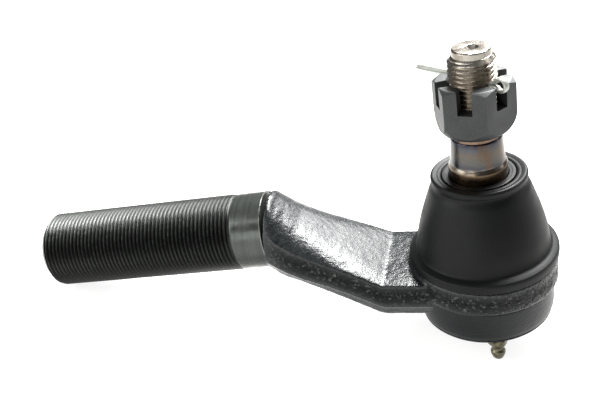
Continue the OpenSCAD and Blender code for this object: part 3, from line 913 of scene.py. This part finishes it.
class TIEROD_OT_ball_stud(bpy.types.Operator):
    """Build the ball stud: ball, neck, collar, taper, land, thread and tip"""
    bl_idname = "tie_rod_end.ball_stud"
    bl_label = "Ball stud"

    def execute(self, context):
        s = settings()
        top, ball = STUD_HIGH.z / MM, BALL_Z / MM
        thread_low, thread_high = NUT_LOW.z / MM + 1.2, top - 2.9
        ball_r = 16.5
        neck_r = 10.0
        start, stop, steps = math.radians(-74), math.acos(neck_r / ball_r), 42
        round_part = [(ball_r * math.cos(a), ball + ball_r * math.sin(a), 0)
                      for a in (start + (stop - start) * k / steps for k in range(steps + 1))]
        body = revolve("ball_stud", [(0, round_part[0][1])] + round_part + [
            (neck_r, ball + 18, 1), (10.6, ball + 24, 2), (12.45, -20, 2), (12.45, -1.7, 0.6),
            (12.0, -0.7, 0.5),
            (11.55, 0.1, 0.3), (10.82, 11.5, 0.3), (10.3, 11.9, 0.1), (10.3, 15.3, 0.25), (9.0, 16.4, 0.2),
            (8.6, thread_low + 3, 0), (8.6, top - 5.6, 0), (7.9, top - 4.6, 0.2), (7.9, top - 0.5, 0.25),
            (7.4, top, 0.3), (2.9, top, 0.15), (2.3, top - 0.7, 0.1), (0.7, top - 2.4, 0.1),
            (0, top - 2.4)], 128)
        stud = new_object("ball_stud_body", body, material("stud"))
        thread = screw_thread("stud_thread", {
            "Major Radius": 9.95 * MM, "Pitch": s.stud_pitch, "Depth": THREAD_DEPTH * s.stud_pitch,
            "Length": (thread_high - thread_low) * MM, "Start Bevel": 1.0 * MM, "End Bevel": 2.0 * MM,
            "Segments": 96, "Rings Per Turn": 10}, material("stud"),
            Matrix.Translation((0, 0, thread_low * MM)))
        for piece in (stud, thread):
            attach(piece, "stud")
            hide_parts("ball_stud")
        return {"FINISHED"}


class TIEROD_OT_nut_and_pin(bpy.types.Operator):
    """Build the castle nut and its cotter pin"""
    bl_idname = "tie_rod_end.nut_and_pin"
    bl_label = "Castle nut and cotter pin"

    def execute(self, context):
        low, high = NUT_LOW.z / MM, NUT_HIGH.z / MM
        flat = 15.0
        corner = flat / math.cos(math.radians(30))
        nut = plain("castle_nut_body", hexagon("castle_nut_body", corner, low, high, NUT_TURN))
        round_off = plain("round_off", revolve("round_off", [
            (0, low), (13.7, low, 0.5), (15.2, low + 1.7, 1.5), (16.4, low + 3.9, 2), (17.0, low + 6.0, 2),
            (17.5, low + 8.8, 2), (17.5, high - 1.7, 0.4), (15.2, high, 0.4), (0, high)], 192))
        boolean(nut, round_off, "INTERSECT")
        bore = plain("bore", revolve("bore", [
            (0, low - 1), (10.9, low - 1, 0), (10.9, low + 0.2, 0), (10.02, low + 1.2, 0),
            (10.02, high - 0.8, 0), (10.9, high + 0.1, 0), (10.9, high + 1, 0), (0, high + 1)], 96))
        boolean(nut, bore, "DIFFERENCE")
        floor = high - 9.8
        for k in range(3):
            a = NUT_TURN + math.radians(30 + 60 * k)
            along = Vector((math.cos(a), math.sin(a), 0))
            across = Vector((-math.sin(a), math.cos(a), 0))
            points = []
            for z in (floor, high + 2):
                for u, v in ((-20, -3), (20, -3), (20, 3), (-20, 3)):
                    points.append(along * u * MM + across * v * MM + Vector((0, 0, z * MM)))
            cutter = plain("slot", mesh_from("slot", points, [
                (0, 1, 2, 3), (4, 5, 6, 7), (0, 1, 5, 4), (1, 2, 6, 5), (2, 3, 7, 6), (3, 0, 4, 7)]))
            boolean(nut, cutter, "DIFFERENCE")
        soften(nut, 0.28 * MM, 3, 28)
        finish_mesh(nut.data, material("nut"), 30)
        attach(nut, "stud")
        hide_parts("castle_nut")
        pin = self.cotter_pin()
        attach(pin, "stud")
        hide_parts("cotter_pin")
        return {"FINISHED"}

    def cotter_pin(self):
        """One half-round wire: leg, straight, round the eye, straight, other leg."""
        turn = Matrix.Translation((0, 0, PIN_Z)) @ Matrix.Rotation(PIN_TURN, 4, "Z")
        eye_x = 15.0
        eye_r = 2.8
        lift = 0.8
        half = 0.9
        lower = [(-34.3, 0.9, -2.9), (-30, 0.8, -2.5), (-24, 0.6, -2.0), (-18, 0.4, -1.5), (-13, 0.2, -1.1),
                 (-9, 0.1, -half), (0, 0, -half), (9.5, 0, -half)]
        eye = [(eye_x + eye_r * math.cos(math.radians(a)), 0, lift + eye_r * math.sin(math.radians(a)))
               for a in range(-140, 149, 12)]
        upper = [(9.5, 0, half), (0, 0, half), (-9, -0.1, half), (-13, -0.2, half - 0.1), (-18, -0.4, 0.5),
                 (-24, -0.6, 0.1), (-31.8, -0.9, -0.5)]
        rough = [Vector(p) * MM for p in lower + eye + upper]
        path = []
        for i in range(len(rough) - 1):
            p0, p1, p2, p3 = (rough[min(max(j, 0), len(rough) - 1)] for j in (i - 1, i, i + 1, i + 2))
            for k in range(5):
                t = k / 5
                path.append(0.5 * (2 * p1 + (p2 - p0) * t + (2 * p0 - 5 * p1 + 4 * p2 - p3) * t * t
                                   + (3 * p1 - p0 - 3 * p2 + p3) * t ** 3))
        path.append(rough[-1])
        # the wire's flat side faces inwards, so the two halves make a round pin
        across = Vector((0, 1, 0))
        wire_r = 1.05 * MM
        profile = [(wire_r * math.cos(math.radians(a)), wire_r * math.sin(math.radians(a)))
                   for a in range(0, 360, 20)]
        verts = []
        for i, p in enumerate(path):
            ahead = (path[min(i + 1, len(path) - 1)] - path[max(i - 1, 0)]).normalized()
            outward = ahead.cross(across).normalized()
            side = outward.cross(ahead).normalized()
            tip = min(i, len(path) - 1 - i)
            shrink = min(1.0, 0.35 + tip * 0.16)
            for u, v in profile:
                w = v if v > 0 else v * 0.6
                verts.append(p + side * u * 1.3 * shrink + outward * (w + 0.1 * MM) * shrink)
        mesh = mesh_from("cotter_pin_wire", verts, loft_faces(len(path), len(profile)))
        mesh.transform(turn)
        return new_object("cotter_pin_wire", mesh, material("wire"), 80)


class TIEROD_OT_boot(bpy.types.Operator):
    """Build the rubber boot and the bush in its top"""
    bl_idname = "tie_rod_end.boot"
    bl_label = "Dust boot"

    def execute(self, context):
        top, low = BOOT_HIGH.z / MM, BOOT_LOW.z / MM
        outline = [
            (15.65, top - 0.62, 0.2), (17.5, top - 0.55, 0.3), (17.7, top - 0.68, 0.2),
            (18.1, top - 0.5, 0.4),
            (19.7, top, 0.7), (20.6, top - 0.8, 0.7), (20.5, top - 2.6, 0.5), (19.75, top - 3.5, 0.5),
            (20.2, top - 5.0, 2), (21.5, -12.6, 4), (23.25, -17.5, 5), (26.0, -25.5, 6), (28.2, -34, 6),
            (29.0, -39.6, 2), (29.4, -41.7, 1.0), (31.4, -42.5, 1.0), (32.7, -43.2, 0.5), (32.9, -44.6, 0.4),
            (32.7, low + 0.4, 0.3), (32.2, low, 0.2), (28.3, low, 0.1), (28.3, -40.2, 0.3), (26.9, -39.6, 1),
            (25.6, -34.5, 3), (23.2, -25, 4), (20.4, -16.6, 3), (18.2, -11.5, 1.5), (15.65, -10.4, 0.3)]
        mesh = revolve("boot_rubber", outline, 144, closed=True, steps=5)
        boot = new_object("boot_rubber", mesh, material("rubber"), 38)
        cut = boot.modifiers.new("rings", "SUBSURF")
        cut.levels = 1
        cut.render_levels = 1
        apply_modifiers(boot)
        boot.data.shade_smooth()
        boot.data.set_sharp_from_angle(angle=math.radians(50))
        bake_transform(boot)
        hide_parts("dust_boot")
        bush = new_object("boot_top_bush", revolve("boot_top_bush", [
            (12.56, top - 1.1, 0.1), (12.9, top - 0.8, 0.3), (14.0, top - 0.76, 0.2), (14.2, top - 0.68, 0.2),
            (15.5, top - 0.65, 0.15), (15.6, -10.5, 0.2), (12.56, -10.5, 0.2)], 128, closed=True),
            material("rubber"))
        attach(bush, "collar")
        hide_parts("boot_collar_ring")
        return {"FINISHED"}


class TIEROD_OT_underside(bpy.types.Operator):
    """Build the end cover and the grease fitting"""
    bl_idname = "tie_rod_end.underside"
    bl_label = "End cover and grease fitting"

    def execute(self, context):
        low, high = COVER_LOW.z / MM, COVER_HIGH.z / MM
        cover = new_object("end_cover_plate", revolve("end_cover_plate", [
            (0, high), (27.85, high, 0.1), (27.85, low + 1.2, 0.1), (26.7, low, 0.2), (18.5, low, 0.5),
            (17.4, low + 0.7, 0.5), (6.0, low + 0.7, 0.4), (5.0, low + 0.3, 0.3), (0, low + 0.3)], 144),
            material("cup"))
        hex_high = HOUSE_LOW / MM - 0.3
        hex_low = hex_high - 3
        mouth = FITTING_LOW.z / MM
        centre = (FITTING_X, FITTING_Y)
        stem = revolve("grease_fitting_stem", [
            (0, hex_high + 5.4, 0), (1.4, hex_high + 5.4, 0.1), (2.9, hex_high + 5.0, 0.2),
            (3.0, hex_high - 0.2, 0.1), (3.5, hex_low + 0.2, 0.1), (3.35, hex_low - 0.9, 0.3),
            (2.35, hex_low - 2.0, 0.6), (2.3, hex_low - 3.2, 0.5), (3.2, hex_low - 4.2, 0.5),
            (3.32, hex_low - 5.2, 0.5), (3.1, hex_low - 6.2, 0.5), (2.3, mouth, 0.4),
            (0.8, mouth, 0.15), (0.6, mouth + 0.9, 0), (0, mouth + 0.9)], 64, centre=centre)
        nut = plain("grease_fitting_hexagon", hexagon(
            "grease_fitting_hexagon", 4.62, hex_low, hex_high, math.radians(12), centre))
        dome = plain("dome", revolve("dome", [
            (0, hex_low), (4.0, hex_low, 0.1), (4.8, hex_low + 0.6, 0.1), (4.8, hex_high - 0.5, 0.1),
            (4.1, hex_high, 0.1), (0, hex_high)], 64, centre=centre))
        boolean(nut, dome, "INTERSECT")
        soften(nut, 0.12 * MM, 2, 25)
        finish_mesh(nut.data, material("fitting"), 35)
        body = new_object("grease_fitting_head", stem, material("fitting"))
        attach(cover, "forging")
        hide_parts("end_cover")
        for piece in (nut, body):
            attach(piece, "forging")
            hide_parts("grease_fitting_body")
        return {"FINISHED"}


class TIEROD_OT_inner_parts(bpy.types.Operator):
    """Give the parts inside the joint and the fitting their materials"""
    bl_idname = "tie_rod_end.inner_parts"
    bl_label = "Inner parts"

    def execute(self, context):
        finishes = {"upper_bearing": "acetal", "lower_bearing": "acetal", "spring_seat": "strip",
                    "preload_spring": "strip", "boot_base_ring": "strip",
                    "grease_fitting_ball": "wire", "grease_fitting_spring": "strip"}
        for node, key in finishes.items():
            obj = frame["nodes"][node]
            obj.data.materials.clear()
            obj.data.materials.append(material(key))
        return {"FINISHED"}


class TIEROD_OT_stage(bpy.types.Operator):
    """Set the floor, the studio lights and the camera"""
    bl_idname = "tie_rod_end.stage"
    bl_label = "Floor, lights and camera"

    def execute(self, context):
        s = settings()
        scene = context.scene
        # the part lies on its shank's end and on the grease fitting
        shank_foot = SHANK_ORIGIN + SHANK_DIR * SHANK_END - Vector((0, 0, SHANK_R))
        fitting_foot = Vector((FITTING_X, FITTING_Y, FITTING_LOW.z))
        along = (fitting_foot - shank_foot).normalized()
        right = s.camera_matrix().to_3x3().col[0]
        normal = along.cross(right).normalized()
        if normal.z < 0:
            normal = -normal
        reach = 12.0
        side = normal.cross(Vector((0, 1, 0))).normalized()
        ahead = side.cross(normal)
        point = fitting_foot
        corners = ((-1, -1), (1, -1), (1, 1), (-1, 1))
        verts = [point + side * u * reach + ahead * v * reach for u, v in corners]
        mesh = bpy.data.meshes.new("studio_floor")
        mesh.from_pydata([tuple(v) for v in verts], [], [(0, 1, 2, 3)])
        floor = new_object("studio_floor", mesh, material("floor"))
        if floor.data.polygons[0].normal.z < 0:
            floor.data.flip_normals()
        for name, place, size_xy, power in (
                ("rear softbox", (0.27, 0.75, 0.46), (0.5, 0.5), s.rear_power),
                ("top softbox", (0.18, 0.44, 0.67), (0.55, 0.26), s.key_power),
                ("front strip", (-0.15, -0.55, 0.75), (0.8, 0.10), s.strip_power),
                ("left softbox", (-0.75, -0.30, 0.40), (0.5, 0.6), s.fill_power),
                ("low front softbox", (-0.31, -0.65, 0.10), (0.4, 0.35), s.front_power),
                ("right strip", (0.65, 0.15, 0.30), (0.16, 0.7), s.rim_power)):
            data = bpy.data.lights.new(name, "AREA")
            data.shape = "RECTANGLE"
            data.size, data.size_y = size_xy
            data.energy = power
            lamp = bpy.data.objects.new(name, data)
            lamp.location = place
            lamp.visible_camera = False
            aim = MIDDLE_OF_PART - lamp.location
            lamp.rotation_euler = aim.to_track_quat("-Z", "Y").to_euler()
            scene.collection.objects.link(lamp)
        world = bpy.data.worlds.new("studio")
        world.use_nodes = True
        world.node_tree.nodes["Background"].inputs["Color"].default_value = hex_colour("#ffffff")
        world.node_tree.nodes["Background"].inputs["Strength"].default_value = s.world_strength
        scene.world = world
        data = bpy.data.cameras.new("camera")
        data.sensor_width = 36
        data.lens = s.lens
        data.clip_start = 0.01
        camera = bpy.data.objects.new("camera", data)
        camera.matrix_world = s.camera_matrix()
        scene.collection.objects.link(camera)
        scene.camera = camera
        scene.view_settings.view_transform = "Standard"
        return {"FINISHED"}


def length(name, description, default):
    """A length that a user may change, given in millimetres."""
    return bpy.props.FloatProperty(name=name, description=description, default=default * MM,
                                   unit="LENGTH", precision=5, min=0.0)


def colour(name, description, text):
    """A colour that a user may change, given as sRGB hex."""
    return bpy.props.FloatVectorProperty(name=name, description=description, default=hex_colour(text),
                                         subtype="COLOR", size=4, min=0.0, max=1.0)


def number(name, description, default):
    """A plain number that a user may change."""
    return bpy.props.FloatProperty(name=name, description=description, default=default)


def angle(name, description, degrees):
    """An angle that a user may change, given in degrees."""
    return bpy.props.FloatProperty(name=name, description=description, default=math.radians(degrees),
                                   subtype="ANGLE")


class TieRodEndSettings(bpy.types.PropertyGroup):
    """Sizes, colours, lights and camera of the tie rod end"""
    shank_pitch: length("Shank pitch", "Pitch of the shank's thread", 2)
    stud_pitch: length("Stud pitch", "Pitch of the stud's thread", 2)
    forging_grain: length("Forging mesh", "Mesh size of the forged skin", 0.62)
    hammer_depth: length("Hammer marks", "Depth of the forged skin's hollows", 0.16)
    paint: colour("Paint", "Enamel on the forging and its cup", "#0f1213")
    blackened: colour("Blackened steel", "Darkest tone of the collar and the shank's thread", "#232523")
    nut_grey: colour("Nut", "Phosphate on the castle nut", "#222424")
    zinc: colour("Cotter pin", "Zinc plating on the wire", "#999b94")
    fitting: colour("Grease fitting", "Passivated zinc on the fitting", "#66614f")
    rubber: colour("Rubber", "The boot and its top bush", "#090a0a")
    board: colour("Floor", "The studio board", "#929290")
    lens: number("Lens", "Focal length on a 36 mm wide frame, in millimetres", 50.46)
    camera_place: bpy.props.FloatVectorProperty(
        name="Camera place", description="Where the camera stands", default=(0.01655, -0.3190, 0.17294),
        subtype="XYZ", unit="LENGTH")
    camera_heading: angle("Heading", "Camera's turn from +Y towards +X", -16.91)
    camera_pitch: angle("Pitch", "How far the camera looks down", 29.7)
    camera_roll: angle("Roll", "Camera's turn about its line of sight", -10.6)
    rear_power: number("Rear light", "Power of the rear softbox, in watts", 10.5)
    key_power: number("Top light", "Power of the top softbox, in watts", 45.0)
    strip_power: number("Front strip", "Power of the strip over the front, in watts", 1.5)
    fill_power: number("Left light", "Power of the left softbox, in watts", 6.5)
    front_power: number("Low front light", "Power of the low front softbox, in watts", 2.0)
    rim_power: number("Right light", "Power of the right strip, in watts", 1.2)
    world_strength: number("Room light", "Strength of the even light", 0.2)

    def camera_matrix(self):
        """Position and turn of the camera from its place, heading, pitch and roll."""
        yaw, pitch, roll = self.camera_heading, self.camera_pitch, self.camera_roll
        ahead = Vector((math.sin(yaw) * math.cos(pitch), math.cos(yaw) * math.cos(pitch), -math.sin(pitch)))
        level = Vector((math.cos(yaw), -math.sin(yaw), 0))
        upright = level.cross(ahead)
        right = level * math.cos(roll) + upright * math.sin(roll)
        up = upright * math.cos(roll) - level * math.sin(roll)
        turned = Matrix((right, up, -ahead)).transposed().to_4x4()
        return Matrix.Translation(Vector(self.camera_place)) @ turned


class TIEROD_PT_panel(bpy.types.Panel):
    """Sizes and builders of the tie rod end"""
    bl_idname = "TIEROD_PT_panel"
    bl_label = "Tie Rod End"
    bl_space_type = "VIEW_3D"
    bl_region_type = "UI"
    bl_category = "Tie Rod End"

    def draw(self, context):
        for name in TieRodEndSettings.__annotations__:
            self.layout.prop(settings(), name)
        for operator in OPERATORS:
            self.layout.operator(operator.bl_idname)


OPERATORS = (TIEROD_OT_forging, TIEROD_OT_ball_stud, TIEROD_OT_nut_and_pin, TIEROD_OT_boot,
             TIEROD_OT_underside, TIEROD_OT_inner_parts, TIEROD_OT_stage)
CLASSES = (TieRodEndSettings, *OPERATORS, TIEROD_PT_panel)


def register():
    for cls in CLASSES:
        bpy.utils.register_class(cls)
    bpy.types.Scene.tie_rod_end = bpy.props.PointerProperty(type=TieRodEndSettings)


def unregister():
    del bpy.types.Scene.tie_rod_end
    for cls in reversed(CLASSES):
        bpy.utils.unregister_class(cls)


def main():
    """Builds every piece in order."""
    register()
    for operator in OPERATORS:
        group, name = operator.bl_idname.split(".")
        getattr(getattr(bpy.ops, group), name)()


if __name__ == "__main__":
    main()
